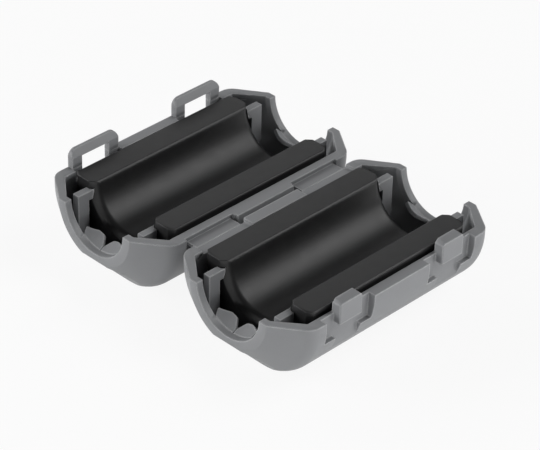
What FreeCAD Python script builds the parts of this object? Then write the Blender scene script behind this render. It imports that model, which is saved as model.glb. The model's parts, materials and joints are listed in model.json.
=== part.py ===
import FreeCAD
import Part
import math
import os

from FreeCAD import Vector

os.makedirs("parts", exist_ok=True)

# Clip-on ferrite sleeve, lying open. All sizes in millimetres.
# X runs along the cable, the base lies at -Y and the lid at +Y, and Z is up.
# Each half is drawn around its own channel: Y = 0 and Z = 0 on the channel axis,
# which is also the plane where the two ferrite faces meet. -Y is the latch side.

# Ferrite halves
channel_radius = 5.13
core_length = 26.8
core_side_wall = 3.69       # beside the channel, at the mating face
core_floor = 2.97           # under the channel
core_corner_radius = 6.6
countersink_width = 0.87
countersink_depth = 0.8
core_corner_cut = 0.7
core_edge_cut = 0.16
core_proud = 0.55           # how far a ferrite face stands above the rim of its shell

# Room around a ferrite half
core_side_gap = 0.51
core_end_gap = 0.9
core_floor_gap = 0.15       # left under a ferrite half once it has sunk level with the rim
cavity_corner_radius = 7.1
cavity_taper_length = 2.7
cavity_end_side_gap = 0.85  # cable opening to the side of the cavity, at the end wall
cavity_end_floor_gap = 0.3  # petals to the floor of the cavity, at the end wall

# Shells
wall_thickness = 1.5
floor_thickness = 1.2
end_wall_thickness = 1.0
shell_corner_radius = 8.6
taper_length = 3.12
shoulder_radius = 2.0       # between the straight part and the taper
shoulder_steps = 5
cable_opening_gap = 0.01    # cable opening beyond the channel
cable_opening_drop = 0.35   # its axis, below the axis of the channel
collar_wall = 1.16          # half ring around the cable opening

# Flute across the underside of each taper
flute_radius = 2.6
flute_inset = 0.55          # its axis, from the end of the shell
flute_drop = 0.35           # its axis, below the underside

# Claws that hold each ferrite half down, one pair at each end
claw_width = 1.0
claw_side_gap = 0.2         # channel to claw
claw_stand_off = 0.57       # ferrite to post
claw_post_length = 1.75
claw_hook_length = 0.87
claw_head_height = 1.3
claw_below_rim = 0.4
claw_clearance = 0.1        # head to ferrite

# Petals under the cable, one pair at each end, level with the cable opening
petal_thickness = 0.6
petal_split = 0.56          # between the two petals of a pair
petal_root_width = 2.6      # at the end wall
petal_width = 3.45          # at the widest place
petal_widest = 0.95         # that place, from the end wall
petal_length = 2.35
petal_tip_width = 1.15
petal_tip_inset = 0.65      # tip, from the inner side of the petal
petal_inner_length = 1.5    # along the inner side

# Hinge
hinge_gap = 1.4             # between the facing walls of the two shells
web_thickness = 0.4
web_length = 7.2
web_inset = 0.9             # from the ends of the ferrite
web_below_rim = 0.5
dip_inner_margin = 0.7      # lowered rim beyond the web
dip_outer_margin = 0.5
dip_radius = 0.45
stop_block_margin = 0.5     # web to the block
stop_block_reach = 0.45
stop_block_height = 1.6
stop_lip_reach = 0.2        # raised rim of the base, opposite the block
web_relief = 0.35           # wall of the lid, set back behind each web
web_relief_margin = 0.3
web_relief_depth = 1.5

# Latches
latch_inset = 4.68          # middle of a latch, from the end of the ferrite
window_width = 4.45
window_below_rim = 2.1      # the window goes on through the wall of the lid
loop_leg_width = 1.6
loop_thickness = 0.9
loop_window_height = 1.4    # above the rim
loop_bar_height = 1.1
loop_corner_radius = 1.0
loop_tip_thickness = 0.4
loop_tip_slope = 0.9        # height of the slope inside the bar
loop_relief_depth = 1.5     # wall of the lid, no thicker than the loop down to here
catch_side_gap = 0.375      # to the window
catch_above_rim = 1.75
catch_below_rim = 1.25
catch_proud = 0.04          # front of the catch beyond the wall
catch_back_setback = 0.2    # back of the catch, short of the inside of the wall
catch_slope_start = 0.45
catch_slope_drop = 0.15
catch_corner_cut = 0.45
catch_edge_radius = 0.25
recess_depth = 1.0
recess_floor_gap = 0.7      # under the tip of the loop when shut
recess_side_gap = 0.2       # beside the loop, at the rim
recess_slant = 0.15         # each side comes in by this much at the bottom
groove_width = 4.1          # runs down from the recess, below the catch
groove_below_rim = 5.5

# Sizes that follow from those
core_width = 2 * (channel_radius + core_side_wall)
core_height = channel_radius + core_floor
countersink_radius = channel_radius + countersink_width
cable_opening_radius = channel_radius + cable_opening_gap
collar_radius = cable_opening_radius + collar_wall

half_shell_width = core_width / 2 + core_side_gap + wall_thickness
cavity_depth = core_height + core_floor_gap
shell_depth = cavity_depth + floor_thickness
cavity_length = core_length + 2 * core_end_gap
cavity_end_length = cavity_length + 2 * cavity_taper_length
shell_length = cavity_end_length + 2 * end_wall_thickness
cavity_end_half_width = cable_opening_radius + cavity_end_side_gap
cavity_end_depth = (cable_opening_drop + cable_opening_radius + petal_thickness - core_proud
                    + cavity_end_floor_gap)

rim = -core_proud
shell_centre = half_shell_width + hinge_gap / 2
mating_height = shell_depth + core_proud
latch_place = core_length / 2 - latch_inset
web_end = core_length / 2 - web_inset
loop_width = window_width + 2 * loop_leg_width
loop_height = loop_window_height + loop_bar_height
catch_width = window_width - 2 * catch_side_gap

# Working values
least_flat = 0.05
tiny = 0.001
over = 5.0                  # how far a cutting shape runs past what it cuts


def box(x0, x1, y0, y1, z0, z1):
    return Part.makeBox(x1 - x0, y1 - y0, z1 - z0, Vector(x0, y0, z0))


def prism(points, direction):
    """Straight solid with the given outline."""
    return Part.Face(Part.makePolygon(points + points[:1])).extrude(direction)


def mirrored(shape, normal):
    return shape.mirror(Vector(0, 0, 0), normal)


def at_both_ends(shape):
    return shape.fuse(mirrored(shape, Vector(1, 0, 0)))


def at_both_sides(shape):
    return shape.fuse(mirrored(shape, Vector(0, 1, 0)))


def x_cylinder(radius, x0, x1, height=0.0):
    return Part.makeCylinder(radius, x1 - x0, Vector(x0, 0, height), Vector(1, 0, 0))


def trough_section(x, half_width, top, bottom, corner_radius):
    """Outline across X: straight sides, round lower corners and a flat bottom."""
    radius = min(corner_radius, half_width - least_flat, top - bottom - least_flat)
    inner = half_width - radius
    turn = bottom + radius
    swing = radius * math.sqrt(0.5)
    left_arc = Part.Arc(Vector(x, -half_width, turn), Vector(x, -inner - swing, turn - swing),
                        Vector(x, -inner, bottom))
    right_arc = Part.Arc(Vector(x, inner, bottom), Vector(x, inner + swing, turn - swing),
                         Vector(x, half_width, turn))
    return Part.Wire([
        Part.makeLine(Vector(x, -half_width, top), Vector(x, -half_width, turn)),
        left_arc.toShape(),
        Part.makeLine(Vector(x, -inner, bottom), Vector(x, inner, bottom)),
        right_arc.toShape(),
        Part.makeLine(Vector(x, half_width, turn), Vector(x, half_width, top)),
        Part.makeLine(Vector(x, half_width, top), Vector(x, -half_width, top)),
    ])


def trough(stations):
    """Solid through the given sections, from the middle outwards, the same at both ends.

    Each station is a distance from the middle and the half width, top, bottom and corner radius there.
    """
    first = stations[0]
    middle = Part.Face(trough_section(-first[0], *first[1:])).extrude(Vector(2 * first[0], 0, 0))
    taper = Part.makeLoft([trough_section(*station) for station in stations], True, True)
    return middle.fuse(at_both_ends(taper)).removeSplitter()


# Ferrite half. It can be asked for larger by a clearance, to cut its own room.
def core_half(clearance=0.0):
    length = core_length + 2 * clearance
    width = core_width + 2 * clearance
    section = trough_section(-length / 2, width / 2, clearance, -core_height - clearance,
                             core_corner_radius + clearance)
    body = Part.Face(section).extrude(Vector(length, 0, 0))

    channel = x_cylinder(channel_radius - clearance, -length, length)
    countersink = Part.makeCone(channel_radius - clearance, countersink_radius - clearance,
                                countersink_depth, Vector(length / 2 - countersink_depth, 0, 0),
                                Vector(1, 0, 0))
    body = body.cut(channel.fuse(at_both_ends(countersink)))

    if core_corner_cut > clearance:
        corner = Vector(length / 2, width / 2, clearance)
        reach = core_corner_cut
        cut = prism([corner + Vector(-reach, over, over), corner + Vector(over, over, over),
                     corner + Vector(over, -reach, over), corner + Vector(0, -reach, over),
                     corner + Vector(-reach, 0, over)],
                    Vector(0, 0, -core_height - 2 * over))
        body = body.cut(at_both_sides(at_both_ends(cut)))

    edge = Vector(-length, width / 2, clearance)
    cut = prism([edge + Vector(0, -core_edge_cut, 0), edge + Vector(0, over, core_edge_cut + over),
                 edge + Vector(0, over, -core_edge_cut), edge + Vector(0, 0, -core_edge_cut)],
                Vector(2 * length, 0, 0))
    return body.cut(at_both_sides(cut))


# Outside of a shell, solid, with the shoulder between straight part and taper rounded in steps
def shell_outside():
    full = (half_shell_width, rim, rim - shell_depth, shell_corner_radius)
    end = (collar_radius, rim, rim - collar_radius, collar_radius)
    drop = half_shell_width - collar_radius
    slope = math.atan2(drop, taper_length)
    shoulder = shell_length / 2 - taper_length
    start = shoulder - shoulder_radius * math.tan(slope / 2)

    stations = []
    for step in range(shoulder_steps + 1):
        turn = slope * step / shoulder_steps
        share = shoulder_radius * (1 - math.cos(turn)) / drop
        section = [a + (b - a) * share for a, b in zip(full, end)]
        stations.append([start + shoulder_radius * math.sin(turn)] + section)
    stations.append([shell_length / 2] + list(end))

    body = trough(stations)
    flute = Part.makeCylinder(flute_radius, 2 * half_shell_width,
                              Vector(shell_length / 2 - flute_inset, -half_shell_width,
                                     rim - shell_depth - flute_drop),
                              Vector(0, 1, 0))
    return body.cut(at_both_ends(flute))


# Room inside a shell
def shell_cavity():
    room = trough([(cavity_length / 2, half_shell_width - wall_thickness, rim, rim - cavity_depth,
                    cavity_corner_radius),
                   (cavity_end_length / 2, cavity_end_half_width, rim, rim - cavity_end_depth,
                    cavity_end_half_width)])
    return room.fuse(x_cylinder(cable_opening_radius, -shell_length, shell_length,
                                -cable_opening_drop))


def claws():
    face = rim - claw_below_rim
    inner = channel_radius + claw_side_gap
    outer = inner + claw_width
    front = core_length / 2 + claw_stand_off
    back = front + claw_post_length
    post = box(front, back, inner, outer, rim - shell_depth, face)
    head = box(front - claw_hook_length, back, inner, outer, face - claw_head_height, face)
    return at_both_sides(at_both_ends(post.fuse(head))).cut(core_half(claw_clearance))


def petals():
    wall = cavity_end_length / 2
    side = petal_split / 2
    tip = side + petal_tip_inset
    outline = prism([Vector(wall + least_flat, side, 0), Vector(wall - petal_inner_length, side, 0),
                     Vector(wall - petal_length, tip, 0),
                     Vector(wall - petal_length, tip + petal_tip_width, 0),
                     Vector(wall - petal_widest, side + petal_width, 0),
                     Vector(wall, side + petal_root_width, 0),
                     Vector(wall + least_flat, side + petal_root_width, 0)],
                    Vector(0, 0, -shell_depth))
    ring = x_cylinder(cable_opening_radius + petal_thickness, 0, shell_length, -cable_opening_drop)
    ring = ring.cut(x_cylinder(cable_opening_radius, 0, shell_length, -cable_opening_drop))
    return at_both_sides(at_both_ends(ring.common(outline)))


def shell():
    outside = shell_outside()
    fittings = claws().fuse(petals()).common(outside)
    return outside.cut(shell_cavity()).fuse(fittings).removeSplitter()


def at_both_latches(shape):
    return at_both_ends(shape.translated(Vector(latch_place, 0, 0)))


def outline_plate(points, y0, y1):
    """Plate whose outline is given as pairs of X and Z."""
    return prism([Vector(x, y0, z) for x, z in points], Vector(0, y1 - y0, 0))


# Base: recesses with a catch each on the latch side, a lowered rim at the hinge
def base_shell():
    wall = -half_shell_width
    floor = wall + recess_depth
    body = shell()

    top = loop_width / 2 + recess_side_gap
    bottom = top - recess_slant
    depth = loop_height + recess_floor_gap
    recess = outline_plate([(-top, rim), (-top, rim + over), (top, rim + over), (top, rim),
                            (bottom, rim - depth), (-bottom, rim - depth)],
                           wall - over, floor)
    groove = box(-groove_width / 2, groove_width / 2, wall - over, floor,
                 rim - groove_below_rim, rim + over)
    body = body.cut(at_both_latches(recess.fuse(groove)))

    front = wall - catch_proud
    back = wall + wall_thickness - catch_back_setback
    tip = rim + catch_above_rim
    foot = rim - catch_below_rim
    slope_top = back - catch_slope_start
    side = prism([Vector(-catch_width / 2, back, foot), Vector(-catch_width / 2, back, tip),
                  Vector(-catch_width / 2, slope_top, tip),
                  Vector(-catch_width / 2, front, tip - catch_slope_drop),
                  Vector(-catch_width / 2, front, foot)],
                 Vector(catch_width, 0, 0))
    half = catch_width / 2
    cut = catch_corner_cut
    face = outline_plate([(-half, foot), (-half, tip - cut), (-half + cut, tip), (half - cut, tip),
                          (half, tip - cut), (half, foot)],
                         front, back)
    catch = side.common(face)
    sides = [e for e in catch.Edges
             if abs(e.CenterOfMass.y - front) < tiny and abs(abs(e.CenterOfMass.x) - half) < tiny]
    body = body.fuse(at_both_latches(catch.makeFillet(catch_edge_radius, sides)))

    inner = half_shell_width - wall_thickness
    dip_floor = rim - web_below_rim
    dip = box(web_end - web_length - dip_inner_margin, web_end + dip_outer_margin,
              inner - over, half_shell_width + over, dip_floor, dip_floor + over)
    low = [e for e in dip.Edges
           if abs(e.CenterOfMass.z - dip_floor) < tiny and abs(e.Vertexes[0].X - e.Vertexes[1].X) < tiny]
    dip = dip.makeFillet(dip_radius, low)
    dip = dip.common(box(0, shell_length, inner - tiny, half_shell_width + over, dip_floor, over))
    end = web_end - web_length - dip_inner_margin
    lip = box(-end, end, half_shell_width - wall_thickness / 2, half_shell_width + stop_lip_reach,
              rim - stop_block_height, rim)
    return body.cut(at_both_ends(dip)).fuse(lip).removeSplitter()


# Lid: windows on the latch side, a block in the middle of the hinge side
def lid_shell():
    wall = -half_shell_width
    window = box(-window_width / 2, window_width / 2, wall - over, wall + wall_thickness,
                 rim - window_below_rim, rim + over)
    end = web_end - web_length - stop_block_margin
    block = box(-end, end, half_shell_width - wall_thickness / 2,
                half_shell_width + stop_block_reach, rim - stop_block_height, rim)
    relief = box(-loop_width / 2, loop_width / 2, wall + loop_thickness, wall + over,
                 rim - loop_relief_depth, rim + over)
    seat = box(web_end - web_length - web_relief_margin, web_end + web_relief_margin,
               half_shell_width - web_relief, half_shell_width + over,
               rim - web_relief_depth, rim + over)
    body = shell().cut(at_both_latches(window.fuse(relief))).cut(at_both_ends(seat))
    return body.fuse(block).removeSplitter()


# Latch loop, around its own window
def latch_loop():
    plate = box(-loop_width / 2, loop_width / 2, -half_shell_width,
                -half_shell_width + loop_thickness, rim, rim + loop_height)
    tips = [e for e in plate.Edges
            if abs(abs(e.CenterOfMass.x) - loop_width / 2) < tiny
            and abs(e.CenterOfMass.z - rim - loop_height) < tiny]
    plate = plate.makeFillet(loop_corner_radius, tips)
    inside = -half_shell_width + loop_thickness
    tip = rim + loop_height
    slope = prism([Vector(-loop_width, inside, tip - loop_tip_slope),
                   Vector(-loop_width, inside - loop_thickness + loop_tip_thickness, tip),
                   Vector(-loop_width, inside, tip + over),
                   Vector(-loop_width, inside + over, tip)],
                  Vector(2 * loop_width, 0, 0))
    plate = plate.cut(slope)
    window = box(-window_width / 2, window_width / 2, -half_shell_width - over,
                 -half_shell_width + over, rim - over, rim + loop_height - loop_bar_height)
    return plate.cut(window)


def hinge_web():
    """Thin strip between the shells, drawn at its own height over the floor."""
    top = shell_depth - web_below_rim
    return box(web_end - web_length, web_end, -hinge_gap / 2, hinge_gap / 2 + web_relief,
               top - web_thickness, top)


def to_base(shape):
    return shape.translated(Vector(0, -shell_centre, mating_height))


def to_lid(shape):
    turned = shape.rotated(Vector(0, 0, 0), Vector(0, 0, 1), 180)
    return turned.translated(Vector(0, shell_centre, mating_height))


def save(name, shape):
    solid = shape.Solids[0] if len(shape.Solids) == 1 else shape
    solid.exportStep("parts/" + name + ".step")


loop = latch_loop()
web = hinge_web()
core = core_half()

save("case_base", to_base(base_shell()))
save("case_lid", to_lid(lid_shell()))
save("ferrite_base", to_base(core))
save("ferrite_lid", to_lid(core))
save("latch_loop_front", to_lid(loop.translated(Vector(latch_place, 0, 0))))
save("latch_loop_back", to_lid(loop.translated(Vector(-latch_place, 0, 0))))
save("hinge_web_front", mirrored(web, Vector(1, 0, 0)))
save("hinge_web_back", web)
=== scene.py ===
import json
from math import cos, radians, sin, tan

import bmesh
import bpy
from mathutils import Matrix, Vector


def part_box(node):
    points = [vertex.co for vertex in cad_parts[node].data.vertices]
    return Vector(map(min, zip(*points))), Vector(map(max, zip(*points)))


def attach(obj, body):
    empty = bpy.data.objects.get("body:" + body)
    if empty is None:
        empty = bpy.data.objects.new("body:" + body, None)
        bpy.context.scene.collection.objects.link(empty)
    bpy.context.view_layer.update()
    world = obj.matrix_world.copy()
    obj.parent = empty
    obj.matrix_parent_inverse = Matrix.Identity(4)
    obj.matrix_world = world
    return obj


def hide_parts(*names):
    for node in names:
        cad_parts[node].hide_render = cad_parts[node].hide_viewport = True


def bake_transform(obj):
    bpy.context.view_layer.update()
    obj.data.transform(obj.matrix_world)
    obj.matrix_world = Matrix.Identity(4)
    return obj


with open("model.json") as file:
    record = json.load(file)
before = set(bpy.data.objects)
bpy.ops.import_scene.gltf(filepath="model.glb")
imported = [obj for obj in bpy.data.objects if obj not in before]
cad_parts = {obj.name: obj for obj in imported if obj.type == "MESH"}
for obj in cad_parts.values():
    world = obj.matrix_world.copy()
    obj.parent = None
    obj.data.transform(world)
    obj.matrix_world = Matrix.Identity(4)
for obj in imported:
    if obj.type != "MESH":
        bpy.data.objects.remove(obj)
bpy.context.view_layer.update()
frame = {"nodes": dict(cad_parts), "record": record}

MM = 0.001


# The case is one moulding in grey nylon: two half shells, a thin hinge and two latch loops.
# Every edge comes out of the mould slightly round, and a painted highlight lightens the colour
# along those edges.
# Each end has a flute across its underside and two petals that lean up into the cable way.
case_edge_radius = 0.06 * MM
case_crease = radians(32)
shading_crease = radians(38)
vertex_spacing = 0.003 * MM
rounded_spacing = 0.001 * MM
case_grey = (0.228, 0.232, 0.240, 1.0)
case_grey_light = (0.250, 0.255, 0.264, 1.0)
# The colour of the painted highlight along the sharp edges of the case.
case_painted_highlight = (0.50, 0.505, 0.515, 1.0)

shell_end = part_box("case_base")[1].x
rim_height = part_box("case_lid")[1].z
channel_height = frame["record"]["mounts"][0]["pos_m"][2]
opening_radius = 5.14 * MM
opening_drop = 0.35 * MM
end_wall = shell_end - 1.0 * MM

flute_radius = 8.0 * MM
flute_centre = (shell_end + 3.8 * MM, -3.5 * MM)
flute_length = 30 * MM
flute_segments = 160

petal_room_radius = opening_radius + 0.7 * MM
petal_room_length = 2.8 * MM
petal_room_middle = end_wall - 1.45 * MM
petal_room_half_width = 4.3 * MM
petal_room_top = channel_height - 2.8 * MM
petal_room_segments = 96

petal_thickness = 0.5 * MM
petal_slope = radians(36)
petal_split = 0.1 * MM
petal_root_width = 2.9 * MM
petal_width = 3.2 * MM
petal_widest = 0.7 * MM
petal_length = 1.5 * MM
petal_tip_width = 0.9 * MM
petal_tip_inset = 0.8 * MM
petal_inner_length = 0.5 * MM
petal_root_depth = 0.3 * MM
petal_corner = 0.2 * MM
petal_edge_radius = 0.06 * MM
petal_strips = 8


def merged_form(mesh):
    """The triangles of a solid joined into one closed skin."""
    form = bmesh.new()
    form.from_mesh(mesh)
    bmesh.ops.remove_doubles(form, verts=form.verts, dist=vertex_spacing)
    bmesh.ops.dissolve_degenerate(form, edges=form.edges, dist=vertex_spacing)
    return form


def round_edges(form, edges, radius, segments):
    """Edges of a form given a radius, as the mould gives them."""
    bmesh.ops.bevel(form, geom=edges, offset=radius, offset_type="OFFSET", segments=segments,
                    profile=0.5, affect="EDGES", material=-1, clamp_overlap=False,
                    loop_slide=True)


def keep_inside(corners, low, high):
    """No corner of a rounded form leaves the box of the solid that the form replaces."""
    for corner in corners:
        corner.co = Vector(min(max(place, least), most)
                           for place, least, most in zip(corner.co, low, high))


def sharp_edges(form, crease):
    """The edges of a form where its faces turn by more than the crease."""
    return [e for e in form.edges if len(e.link_faces) == 2 and e.calc_face_angle() > crease]


def new_piece(name, form):
    """An object made from a form, at the origin, with smooth shading between its sharp edges."""
    mesh = bpy.data.meshes.new(name)
    form.to_mesh(mesh)
    form.free()
    mesh.shade_smooth()
    mesh.set_sharp_from_angle(angle=shading_crease)
    piece = bpy.data.objects.new(name, mesh)
    bpy.context.scene.collection.objects.link(piece)
    return piece


def keep_faces_flat(piece):
    """Shading that leaves large faces flat and puts the turn into the rounded edges."""
    flat_faces = piece.modifiers.new("flat_faces", "WEIGHTED_NORMAL")
    flat_faces.weight = 100
    flat_faces.keep_sharp = True


def cut_away(form, cutter):
    """The first form without the room that the second one takes."""
    body = new_piece("body_to_cut", form)
    tool = new_piece("cutting_tool", cutter)
    cut = body.modifiers.new("cut", "BOOLEAN")
    cut.operation = "DIFFERENCE"
    cut.solver = "EXACT"
    cut.object = tool
    seen = body.evaluated_get(bpy.context.evaluated_depsgraph_get())
    mesh = bpy.data.meshes.new_from_object(seen)
    bpy.data.objects.remove(body)
    bpy.data.objects.remove(tool)
    form = merged_form(mesh)
    bpy.data.meshes.remove(mesh)
    return form


def end_cutters(axis_y):
    """What comes off a shell: the flutes, and the level petals that the leaning ones stand for."""
    form = bmesh.new()
    for end in (-1, 1):
        turn = Matrix.Rotation(radians(90), 4, "X")
        place = Matrix.Translation((end * flute_centre[0], axis_y, flute_centre[1]))
        bmesh.ops.create_cone(form, cap_ends=True, segments=flute_segments,
                              radius1=flute_radius, radius2=flute_radius,
                              depth=flute_length, matrix=place @ turn)
    for end in (-1, 1):
        room = bmesh.new()
        turn = Matrix.Rotation(radians(90), 4, "Y")
        place = Matrix.Translation((end * petal_room_middle, axis_y,
                                    channel_height - opening_drop))
        bmesh.ops.create_cone(room, cap_ends=True, segments=petal_room_segments,
                              radius1=petal_room_radius, radius2=petal_room_radius,
                              depth=petal_room_length, matrix=place @ turn)
        for spot, outward in (((0, axis_y + petal_room_half_width, 0), (0, 1, 0)),
                              ((0, axis_y - petal_room_half_width, 0), (0, -1, 0)),
                              ((0, 0, petal_room_top), (0, 0, 1))):
            cut = bmesh.ops.bisect_plane(room, geom=room.verts[:] + room.edges[:] + room.faces[:],
                                         plane_co=spot, plane_no=outward, clear_outer=True)
            bmesh.ops.edgeloop_fill(room, edges=[e for e in cut["geom_cut"]
                                                 if isinstance(e, bmesh.types.BMEdge)])
        mesh = bpy.data.meshes.new("petal_room")
        room.to_mesh(mesh)
        room.free()
        form.from_mesh(mesh)
        bpy.data.meshes.remove(mesh)
    bmesh.ops.recalc_face_normals(form, faces=form.faces)
    return form


def petal_form():
    """One petal at the +X end, beside the middle, drawn round the axis of the cable opening."""
    side = petal_split / 2
    tip = side + petal_tip_inset
    form = bmesh.new()
    outline = [form.verts.new((end_wall - inward, across, 0)) for inward, across in (
        (-petal_root_depth, side), (petal_inner_length, side), (petal_length, tip),
        (petal_length, tip + petal_tip_width), (petal_widest, side + petal_width),
        (0, side + petal_root_width), (-petal_root_depth, side + petal_root_width))]
    form.faces.new(outline)
    free_corners = [corner for corner in form.verts if corner.co.x < end_wall - petal_corner / 2]
    bmesh.ops.bevel(form, geom=free_corners, offset=petal_corner, offset_type="OFFSET",
                    segments=4, profile=0.5, affect="VERTICES", material=-1)
    for strip in range(1, petal_strips):
        across = side + petal_width * strip / petal_strips
        bmesh.ops.bisect_plane(form, geom=form.verts[:] + form.edges[:] + form.faces[:],
                               plane_co=(0, across, 0), plane_no=(0, 1, 0))
    for corner in form.verts:
        below = (opening_radius ** 2 - corner.co.y ** 2) ** 0.5
        corner.co.z = (end_wall - corner.co.x) * tan(petal_slope) - below
    bmesh.ops.recalc_face_normals(form, faces=form.faces)
    if sum(face.normal.z for face in form.faces) < 0:
        bmesh.ops.reverse_faces(form, faces=form.faces)
    bmesh.ops.solidify(form, geom=form.faces, thickness=petal_thickness)
    bmesh.ops.recalc_face_normals(form, faces=form.faces)
    round_edges(form, sharp_edges(form, radians(60)), petal_edge_radius, 2)
    return form


def add_petals(form, axis_y):
    """Four petals joined to the form of a shell, two at each end."""
    petal = petal_form()
    mesh = bpy.data.meshes.new("petal")
    petal.to_mesh(mesh)
    petal.free()
    middle = Matrix.Translation((0, axis_y, channel_height - opening_drop))
    for end in (-1, 1):
        for side in (-1, 1):
            copy = mesh.copy()
            copy.transform(middle @ Matrix.Diagonal((end, side, 1, 1)))
            form.from_mesh(copy)
            bpy.data.meshes.remove(copy)
    bpy.data.meshes.remove(mesh)


def principled(name):
    """A new material and its shader."""
    material = bpy.data.materials.new(name)
    material.use_nodes = True
    return material, material.node_tree, material.node_tree.nodes["Principled BSDF"]


def shader_group(name, values, results):
    """An empty node group with number inputs, and outputs given as pairs of name and kind."""
    group = bpy.data.node_groups.new(name, "ShaderNodeTree")
    for label, value in values:
        socket = group.interface.new_socket(label, in_out="INPUT", socket_type="NodeSocketFloat")
        socket.default_value = value
    for label, kind in results:
        group.interface.new_socket(label, in_out="OUTPUT", socket_type="NodeSocket" + kind)
    return group, group.nodes.new("NodeGroupInput"), group.nodes.new("NodeGroupOutput")


def grain_group():
    """Surface grain: soft patches, a roughness that follows them, and a fine bump."""
    group, given, result = shader_group(
        "fine_grain",
        (("Grain Size", 2500.0), ("Patch Size", 120.0), ("Depth", 0.3),
         ("Roughness Low", 0.45), ("Roughness High", 0.6)),
        (("Patches", "Float"), ("Roughness", "Float"), ("Normal", "Vector")))
    nodes, link = group.nodes, group.links.new
    place = nodes.new("ShaderNodeTexCoord")

    fine = nodes.new("ShaderNodeTexNoise")
    fine.inputs["Detail"].default_value = 2.0
    link(place.outputs["Object"], fine.inputs["Vector"])
    link(given.outputs["Grain Size"], fine.inputs["Scale"])
    bump = nodes.new("ShaderNodeBump")
    bump.inputs["Distance"].default_value = 0.03 * MM
    link(given.outputs["Depth"], bump.inputs["Strength"])
    link(fine.outputs["Fac"], bump.inputs["Height"])
    link(bump.outputs["Normal"], result.inputs["Normal"])

    patches = nodes.new("ShaderNodeTexNoise")
    patches.inputs["Detail"].default_value = 4.0
    link(place.outputs["Object"], patches.inputs["Vector"])
    link(given.outputs["Patch Size"], patches.inputs["Scale"])
    spread = nodes.new("ShaderNodeMapRange")
    spread.inputs["From Min"].default_value = 0.3
    spread.inputs["From Max"].default_value = 0.7
    link(patches.outputs["Fac"], spread.inputs["Value"])
    link(spread.outputs["Result"], result.inputs["Patches"])

    shine = nodes.new("ShaderNodeMapRange")
    link(spread.outputs["Result"], shine.inputs["Value"])
    link(given.outputs["Roughness Low"], shine.inputs["To Min"])
    link(given.outputs["Roughness High"], shine.inputs["To Max"])
    link(shine.outputs["Result"], result.inputs["Roughness"])
    return group


def edge_group():
    """A mask of the sharp edges where a painted highlight lightens the colour, broken up a little.
    """
    group, given, result = shader_group(
        "painted_edge_highlight", (("Width", 0.15 * MM), ("Break Size", 600.0)), (("Edges", "Float"),))
    nodes, link = group.nodes, group.links.new
    rounded = nodes.new("ShaderNodeBevel")
    rounded.samples = 6
    link(given.outputs["Width"], rounded.inputs["Radius"])
    flat = nodes.new("ShaderNodeNewGeometry")
    agree = nodes.new("ShaderNodeVectorMath")
    agree.operation = "DOT_PRODUCT"
    link(rounded.outputs["Normal"], agree.inputs[0])
    link(flat.outputs["Normal"], agree.inputs[1])
    turned = nodes.new("ShaderNodeMapRange")
    turned.inputs["From Min"].default_value = 0.995
    turned.inputs["From Max"].default_value = 0.90
    link(agree.outputs["Value"], turned.inputs["Value"])

    place = nodes.new("ShaderNodeTexCoord")
    breaks = nodes.new("ShaderNodeTexNoise")
    breaks.inputs["Detail"].default_value = 3.0
    link(place.outputs["Object"], breaks.inputs["Vector"])
    link(given.outputs["Break Size"], breaks.inputs["Scale"])
    broken = nodes.new("ShaderNodeMapRange")
    broken.inputs["From Min"].default_value = 0.3
    broken.inputs["From Max"].default_value = 0.6
    broken.inputs["To Min"].default_value = 0.45
    link(breaks.outputs["Fac"], broken.inputs["Value"])
    edges = nodes.new("ShaderNodeMath")
    edges.operation = "MULTIPLY"
    link(turned.outputs["Result"], edges.inputs[0])
    link(broken.outputs["Result"], edges.inputs[1])
    link(edges.outputs["Value"], result.inputs["Edges"])
    return group


def place_group(tree, group, **values):
    """One use of a node group, with its own values."""
    node = tree.nodes.new("ShaderNodeGroup")
    node.node_tree = group
    for label, value in values.items():
        node.inputs[label.replace("_", " ")].default_value = value
    return node


def blend_colours(tree, mask, first, second):
    """Colour that goes from the first to the second as the mask goes from 0 to 1."""
    mix = tree.nodes.new("ShaderNodeMix")
    mix.data_type = "RGBA"
    tree.links.new(mask, mix.inputs["Factor"])
    for label, colour in (("A", first), ("B", second)):
        if isinstance(colour, tuple):
            mix.inputs[label].default_value = colour
        else:
            tree.links.new(colour, mix.inputs[label])
    return mix.outputs["Result"]


fine_grain = grain_group()
painted_edge_highlight = edge_group()

case_plastic, tree, shader = principled("case_plastic")
grain = place_group(tree, fine_grain, Grain_Size=2600.0, Patch_Size=160.0, Depth=0.25,
                    Roughness_Low=0.44, Roughness_High=0.54)
# Painted highlight: the sharp edges are lightened in the base colour, as if their rounding caught
# the light.
edge_highlight = place_group(tree, painted_edge_highlight, Width=0.28 * MM, Break_Size=500.0)
body_colour = blend_colours(tree, grain.outputs["Patches"], case_grey, case_grey_light)
tree.links.new(blend_colours(tree, edge_highlight.outputs["Edges"], body_colour, case_painted_highlight),
               shader.inputs["Base Color"])
tree.links.new(grain.outputs["Roughness"], shader.inputs["Roughness"])
tree.links.new(grain.outputs["Normal"], shader.inputs["Normal"])

for node, body in (("case_base", "base"), ("case_lid", "lid"),
                   ("latch_loop_front", "lid"), ("latch_loop_back", "lid")):
    form = merged_form(frame["nodes"][node].data)
    if node.startswith("case"):
        low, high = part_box("ferrite_" + body)
        axis_y = (low.y + high.y) / 2
        form = cut_away(form, end_cutters(axis_y))
    round_edges(form, sharp_edges(form, case_crease), case_edge_radius, 2)
    keep_inside(form.verts, *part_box(node))
    if node == "case_base":
        hinge_side = [corner for corner in form.verts if corner.co.y > axis_y]
        keep_inside(hinge_side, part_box(node)[0], Vector((shell_end, shell_end, rim_height)))
    bmesh.ops.remove_doubles(form, verts=form.verts, dist=rounded_spacing)
    if node.startswith("case"):
        add_petals(form, axis_y)
    bmesh.ops.recalc_face_normals(form, faces=form.faces)
    shell = new_piece(node + "_finished", form)
    keep_faces_flat(shell)
    shell.data.materials.append(case_plastic)
    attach(shell, body)
    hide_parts(node)
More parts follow.
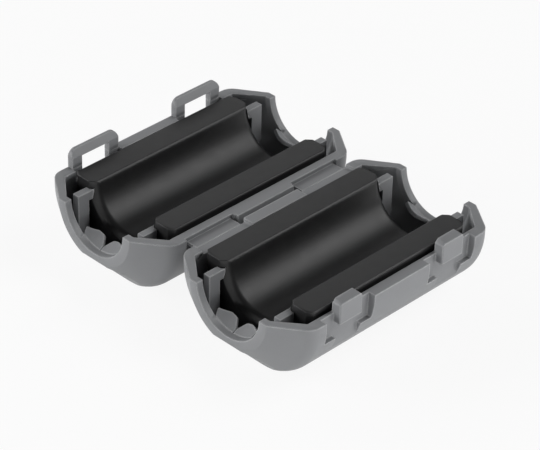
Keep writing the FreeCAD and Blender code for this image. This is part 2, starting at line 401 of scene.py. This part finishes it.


# The hinge is two strips of the same nylon, thin enough to fold through half a turn.
# Each runs from the lowered rim of the base to the wall of the lid.
def hinge_web(node):
    """A thin strip from the base to the lid, with rows of vertices across it."""
    low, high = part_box(node)
    form = bmesh.new()
    bmesh.ops.create_grid(form, x_segments=8, y_segments=12, size=0.5)
    bmesh.ops.scale(form, verts=form.verts,
                    vec=Vector((high.x - low.x, high.y - low.y, 1.0)))
    bmesh.ops.translate(form, verts=form.verts,
                        vec=Vector(((low.x + high.x) / 2, (low.y + high.y) / 2, high.z)))
    bmesh.ops.solidify(form, geom=form.faces, thickness=high.z - low.z)
    bmesh.ops.recalc_face_normals(form, faces=form.faces)
    mesh = bpy.data.meshes.new(node + "_strip")
    form.to_mesh(mesh)
    form.free()
    mesh.shade_smooth()
    mesh.set_sharp_from_angle(angle=shading_crease)
    mesh.materials.append(case_plastic)
    web = bpy.data.objects.new(node + "_strip", mesh)
    bpy.context.scene.collection.objects.link(web)
    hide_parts(node)
    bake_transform(web)


for node in ("hinge_web_front", "hinge_web_back"):
    hinge_web(node)


# Each shell holds half of a sintered ferrite sleeve, nearly black and finely granular.
# The two strips that meet when the sleeve shuts are ground flat, which leaves them a little paler.
ferrite_edge_radius = 0.10 * MM
ferrite_crease = radians(30)
countersink_depth = 0.8 * MM
countersink_softness = 0.4 * MM
countersink_crease = radians(25)
countersink_reach = 5.2 * MM
ground_depth = 0.02 * MM
ferrite_black = (0.0110, 0.0110, 0.0115, 1.0)
ferrite_grey = (0.0145, 0.0145, 0.0150, 1.0)
# The colour of the painted highlight along the sharp edges of the ferrite.
ferrite_painted_highlight = (0.045, 0.045, 0.047, 1.0)
ferrite_ground = (0.0165, 0.0165, 0.0172, 1.0)

ferrite, tree, shader = principled("ferrite")
grain = place_group(tree, fine_grain, Grain_Size=3800.0, Patch_Size=700.0, Depth=0.15,
                    Roughness_Low=0.44, Roughness_High=0.48)
# Painted highlight: the sharp edges of the ferrite are lightened in the base colour, as if their
# rounding caught the light.
edge_highlight = place_group(tree, painted_edge_highlight, Width=0.14 * MM, Break_Size=700.0)

# The ground strips are the part of the surface that lies at the height of the mating face.
where = tree.nodes.new("ShaderNodeTexCoord")
height = tree.nodes.new("ShaderNodeSeparateXYZ")
tree.links.new(where.outputs["Object"], height.inputs["Vector"])
strips = tree.nodes.new("ShaderNodeMath")
strips.operation = "GREATER_THAN"
strips.inputs[1].default_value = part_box("ferrite_base")[1].z - ground_depth
tree.links.new(height.outputs["Z"], strips.inputs[0])

body_colour = blend_colours(tree, grain.outputs["Patches"], ferrite_black, ferrite_grey)
body_colour = blend_colours(tree, strips.outputs["Value"], body_colour, ferrite_ground)
tree.links.new(blend_colours(tree, edge_highlight.outputs["Edges"], body_colour, ferrite_painted_highlight),
               shader.inputs["Base Color"])
tree.links.new(grain.outputs["Roughness"], shader.inputs["Roughness"])
tree.links.new(grain.outputs["Normal"], shader.inputs["Normal"])

for node, body in (("ferrite_base", "core_base"), ("ferrite_lid", "core_lid")):
    form = merged_form(frame["nodes"][node].data)
    low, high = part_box(node)
    mouth = high.x - countersink_depth
    axis_y = (low.y + high.y) / 2
    inner_ring = [e for e in sharp_edges(form, countersink_crease)
                  if all(abs(abs(v.co.x) - mouth) < 0.01 * MM for v in e.verts)
                  and all(abs(v.co.y - axis_y) < countersink_reach for v in e.verts)]
    round_edges(form, inner_ring, countersink_softness, 5)
    round_edges(form, sharp_edges(form, ferrite_crease), ferrite_edge_radius, 2)
    bmesh.ops.recalc_face_normals(form, faces=form.faces)
    core = new_piece(node + "_finished", form)
    keep_faces_flat(core)
    core.data.materials.append(ferrite)
    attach(core, body)
    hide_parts(node)


# A plain white table under the sleeve. The camera, and what shines or shows through, sees it
# nearly white, and the rest is the true table with the soft shadow of the sleeve on it.
table_size = 4.0
white_share = 0.90
white, tree, shader = principled("white_table")
shader.inputs["Base Color"].default_value = (0.9, 0.9, 0.9, 1.0)
shader.inputs["Roughness"].default_value = 0.9
sight = tree.nodes.new("ShaderNodeLightPath")
seen = tree.nodes.new("ShaderNodeMath")
seen.operation = "MAXIMUM"
tree.links.new(sight.outputs["Is Camera Ray"], seen.inputs[0])
tree.links.new(sight.outputs["Is Glossy Ray"], seen.inputs[1])
seen_through = tree.nodes.new("ShaderNodeMath")
seen_through.operation = "MAXIMUM"
tree.links.new(seen.outputs["Value"], seen_through.inputs[0])
tree.links.new(sight.outputs["Is Transmission Ray"], seen_through.inputs[1])
share = tree.nodes.new("ShaderNodeMath")
share.operation = "MULTIPLY"
share.inputs[1].default_value = white_share
tree.links.new(seen_through.outputs["Value"], share.inputs[0])
glow = tree.nodes.new("ShaderNodeEmission")
glow.inputs["Strength"].default_value = 1.0
both = tree.nodes.new("ShaderNodeMixShader")
tree.links.new(share.outputs["Value"], both.inputs["Fac"])
tree.links.new(shader.outputs["BSDF"], both.inputs[1])
tree.links.new(glow.outputs["Emission"], both.inputs[2])
tree.links.new(both.outputs["Shader"], tree.nodes["Material Output"].inputs["Surface"])

form = bmesh.new()
bmesh.ops.create_grid(form, x_segments=1, y_segments=1, size=table_size / 2)
table_mesh = bpy.data.meshes.new("table_top")
form.to_mesh(table_mesh)
form.free()
table_mesh.materials.append(white)
table = bpy.data.objects.new("table_top", table_mesh)
bpy.context.scene.collection.objects.link(table)


# Plain soft studio light. One large lamp stands high at the front right and gives the channels
# their soft streak, others fill in from behind, and two long low ones light the walls.
def soft_lamp(name, place, width, height, power):
    """A rectangular lamp that faces the middle of the sleeve and doesn't show itself."""
    data = bpy.data.lights.new(name, "AREA")
    data.shape = "RECTANGLE"
    data.size = width
    data.size_y = height
    data.energy = power
    lamp = bpy.data.objects.new(name, data)
    bpy.context.scene.collection.objects.link(lamp)
    facing = (-Vector(place)).to_track_quat("-Z", "Y").to_matrix().to_4x4()
    lamp.matrix_world = Matrix.Translation(place) @ facing
    lamp.visible_camera = False


soft_lamp("lamp_high_right", (0.35, -0.27, 0.40), 0.40, 0.40, 1.85)
soft_lamp("lamp_back_left", (-0.40, 0.40, 0.20), 0.31, 0.31, 1.75)
soft_lamp("lamp_back", (0.0, 0.55, 0.25), 0.31, 0.31, 0.85)
soft_lamp("lamp_back_right", (0.40, 0.40, 0.30), 0.31, 0.31, 0.30)
soft_lamp("lamp_low_front", (0.0, -0.16, 0.012), 0.30, 0.02, 0.135)
soft_lamp("lamp_low_left", (-0.16, 0.0, 0.040), 0.30, 0.02, 0.08)

room_light = 0.04
world = bpy.data.worlds.new("studio")
bpy.context.scene.world = world
world.use_nodes = True
sight = world.node_tree.nodes.new("ShaderNodeLightPath")
level = world.node_tree.nodes.new("ShaderNodeMapRange")
level.inputs["To Min"].default_value = room_light
level.inputs["To Max"].default_value = white_share
world.node_tree.links.new(sight.outputs["Is Camera Ray"], level.inputs["Value"])
world.node_tree.links.new(level.outputs["Result"],
                          world.node_tree.nodes["Background"].inputs["Strength"])
world.node_tree.nodes["Background"].inputs["Color"].default_value = (1.0, 1.0, 1.0, 1.0)


# The camera looks down on the open sleeve from one corner, through a long lens.
camera_azimuth = radians(45.672)
camera_elevation = radians(34.33)
camera_roll = radians(1.385)
camera_target = Vector((-3.930, -4.331, 10.0)) * MM
camera_distance = 318.768 * MM
view = bpy.data.cameras.new("camera")
view.sensor_fit = "HORIZONTAL"
view.sensor_width = 36.0
view.lens = 177.887
camera = bpy.data.objects.new("camera", view)
bpy.context.scene.collection.objects.link(camera)
swing = Matrix.Rotation(-camera_azimuth, 3, "Z")
towards = swing @ Matrix.Rotation(-camera_elevation, 3, "X") @ Vector((0, 1, 0))
right = swing @ Vector((1, 0, 0))
up = right.cross(towards)
turned_right = right * cos(camera_roll) + up * sin(camera_roll)
turned_up = up * cos(camera_roll) - right * sin(camera_roll)
spot = camera_target - towards * camera_distance
camera.matrix_world = Matrix.Translation(spot) @ Matrix(
    (turned_right, turned_up, -towards)).transposed().to_4x4()
bpy.context.scene.camera = camera

bpy.context.scene.view_settings.view_transform = "Standard"
